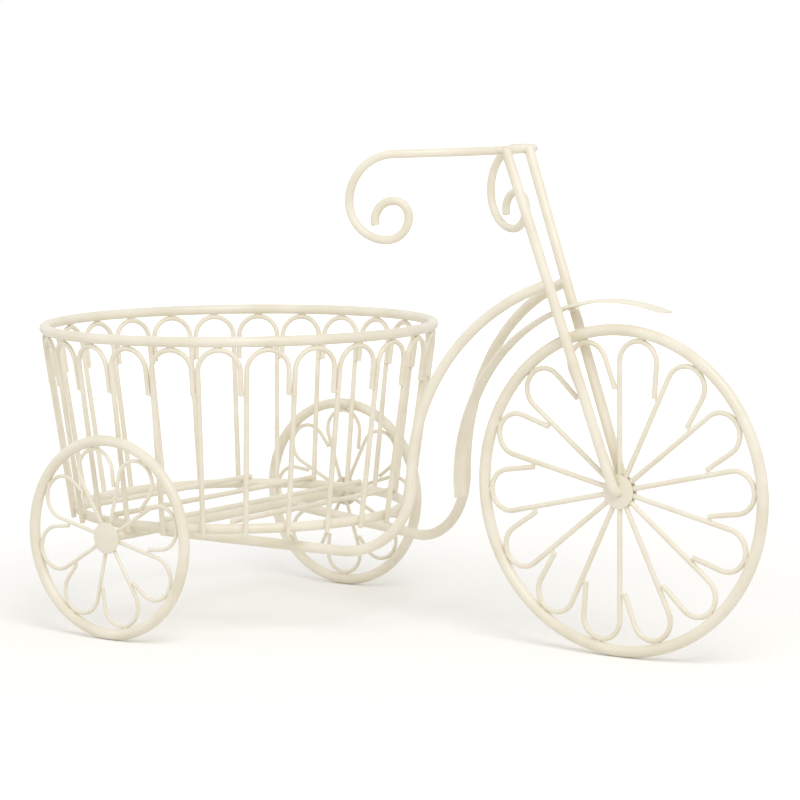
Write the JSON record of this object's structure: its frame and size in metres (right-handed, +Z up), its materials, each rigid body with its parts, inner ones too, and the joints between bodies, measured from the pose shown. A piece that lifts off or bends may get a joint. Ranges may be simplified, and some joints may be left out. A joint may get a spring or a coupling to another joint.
{
  "type": "plant stand",
  "caption": "Tricycle plant stand of bent round steel: a round wire basket over two small wheels, a scrolled handlebar, a mudguard and a big front wheel with petal spokes.",
  "frame": {"origin": "on the floor under the middle of the stand's length, in its middle plane", "axes": "+X forward to the big wheel, +Y to the rider's left, +Z up"},
  "size_m": [0.6688, 0.3336, 0.3948],
  "materials": {
    "cream_paint": "gloss"
  },
  "bodies": {
    "stand": {"axle_keeper_left": "cream_paint", "axle_keeper_right": "cream_paint", "basket_base_ring": "cream_paint", "basket_floor_wire_1": "cream_paint", "basket_floor_wire_2": "cream_paint", "basket_floor_wire_3": "cream_paint", "basket_floor_wire_4": "cream_paint", "basket_hoop_01": "cream_paint", "basket_hoop_02": "cream_paint", "basket_hoop_03": "cream_paint", "basket_hoop_04": "cream_paint", "basket_hoop_05": "cream_paint", "basket_hoop_06": "cream_paint", "basket_hoop_07": "cream_paint", "basket_hoop_08": "cream_paint", "basket_hoop_09": "cream_paint", "basket_hoop_10": "cream_paint", "basket_hoop_11": "cream_paint", "basket_hoop_12": "cream_paint", "basket_hoop_13": "cream_paint", "basket_hoop_14": "cream_paint", "basket_hoop_15": "cream_paint", "basket_hoop_16": "cream_paint", "basket_hoop_17": "cream_paint", "basket_hoop_18": "cream_paint", "basket_hoop_19": "cream_paint", "basket_hoop_20": "cream_paint", "basket_hoop_21": "cream_paint", "basket_hoop_22": "cream_paint", "basket_hoop_23": "cream_paint", "basket_hoop_24": "cream_paint", "basket_hoop_25": "cream_paint", "basket_hoop_26": "cream_paint", "basket_top_ring": "cream_paint", "fork_leg_left": "cream_paint", "fork_leg_right": "cream_paint", "frame_tube_left": "cream_paint", "frame_tube_right": "cream_paint", "handlebar": "cream_paint", "mudguard": "cream_paint", "rear_axle": "cream_paint"},
    "front_wheel": {"front_hub_plate_left": "cream_paint", "front_hub_plate_right": "cream_paint", "front_hub_sleeve": "cream_paint", "front_wheel_petals": "cream_paint", "front_wheel_rim": "cream_paint"},
    "rear_wheel_left": {"rear_hub_left_inner_plate": "cream_paint", "rear_hub_left_outer_plate": "cream_paint", "rear_hub_left_sleeve": "cream_paint", "rear_wheel_left_petals": "cream_paint", "rear_wheel_left_rim": "cream_paint"},
    "rear_wheel_right": {"rear_hub_right_inner_plate": "cream_paint", "rear_hub_right_outer_plate": "cream_paint", "rear_hub_right_sleeve": "cream_paint", "rear_wheel_right_petals": "cream_paint", "rear_wheel_right_rim": "cream_paint"}
  },
  "joints": [
    {"name": "front_wheel_turn", "type": "hinge", "parent": "stand", "child": "front_wheel", "pos_m": [0.2044, 0, 0.13], "axis": [0, 1, 0], "continuous": true},
    {"name": "rear_wheel_left_turn", "type": "hinge", "parent": "stand", "child": "rear_wheel_left", "pos_m": [-0.1786, 0.16, 0.083], "axis": [0, 1, 0], "continuous": true},
    {"name": "rear_wheel_right_turn", "type": "hinge", "parent": "stand", "child": "rear_wheel_right", "pos_m": [-0.1786, -0.16, 0.083], "axis": [0, 1, 0], "continuous": true}
  ]
}
